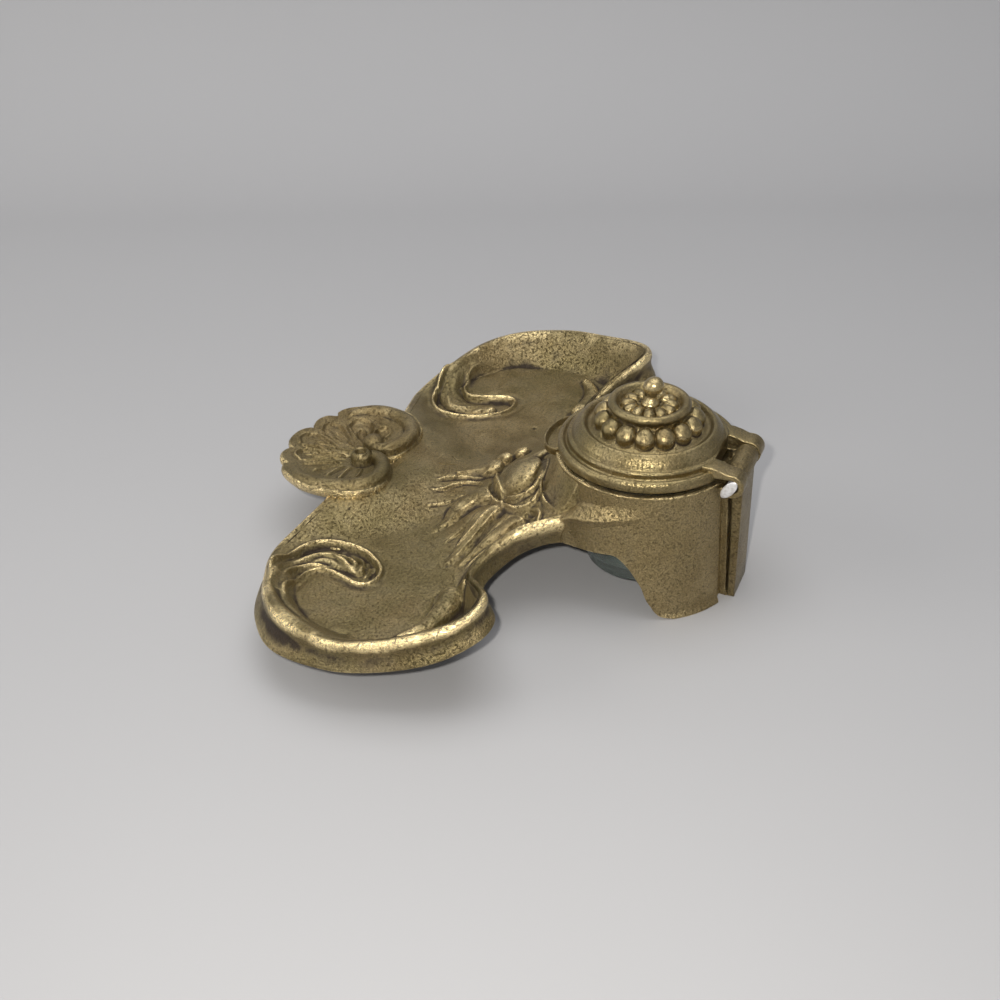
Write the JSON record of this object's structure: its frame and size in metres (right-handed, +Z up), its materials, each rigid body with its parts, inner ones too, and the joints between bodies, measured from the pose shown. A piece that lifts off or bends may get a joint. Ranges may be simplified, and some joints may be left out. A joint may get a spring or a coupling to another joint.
{
  "type": "desk inkstand",
  "caption": "Cast desk inkstand with a lobed scrolled pen tray, a scallop shell front and a round inkwell with a hinged gadrooned lid.",
  "frame": {"origin": "centre of the footprint on the table", "axes": "+X along the pen tray, +Y towards the lid's hinge, +Z up"},
  "size_m": [0.2298, 0.1747, 0.075],
  "materials": {
    "cast_brass": "aged, sand-cast matte with rubbed edges",
    "steel_pin": "peened wire",
    "glass_well": "clear"
  },
  "bodies": {
    "stand": {"pen_tray": "cast_brass", "well_housing": "cast_brass", "hinge_post": "cast_brass", "hinge_pin": "steel_pin", "glass_well": "glass_well"},
    "lid": {"lid": "cast_brass", "finial": "cast_brass"}
  },
  "joints": [
    {"name": "lid_hinge", "type": "hinge", "parent": "stand", "child": "lid", "pos_m": [0, 0.08305, 0.0479], "axis": [-1, 0, 0], "range_deg": [0, 110]}
  ]
}
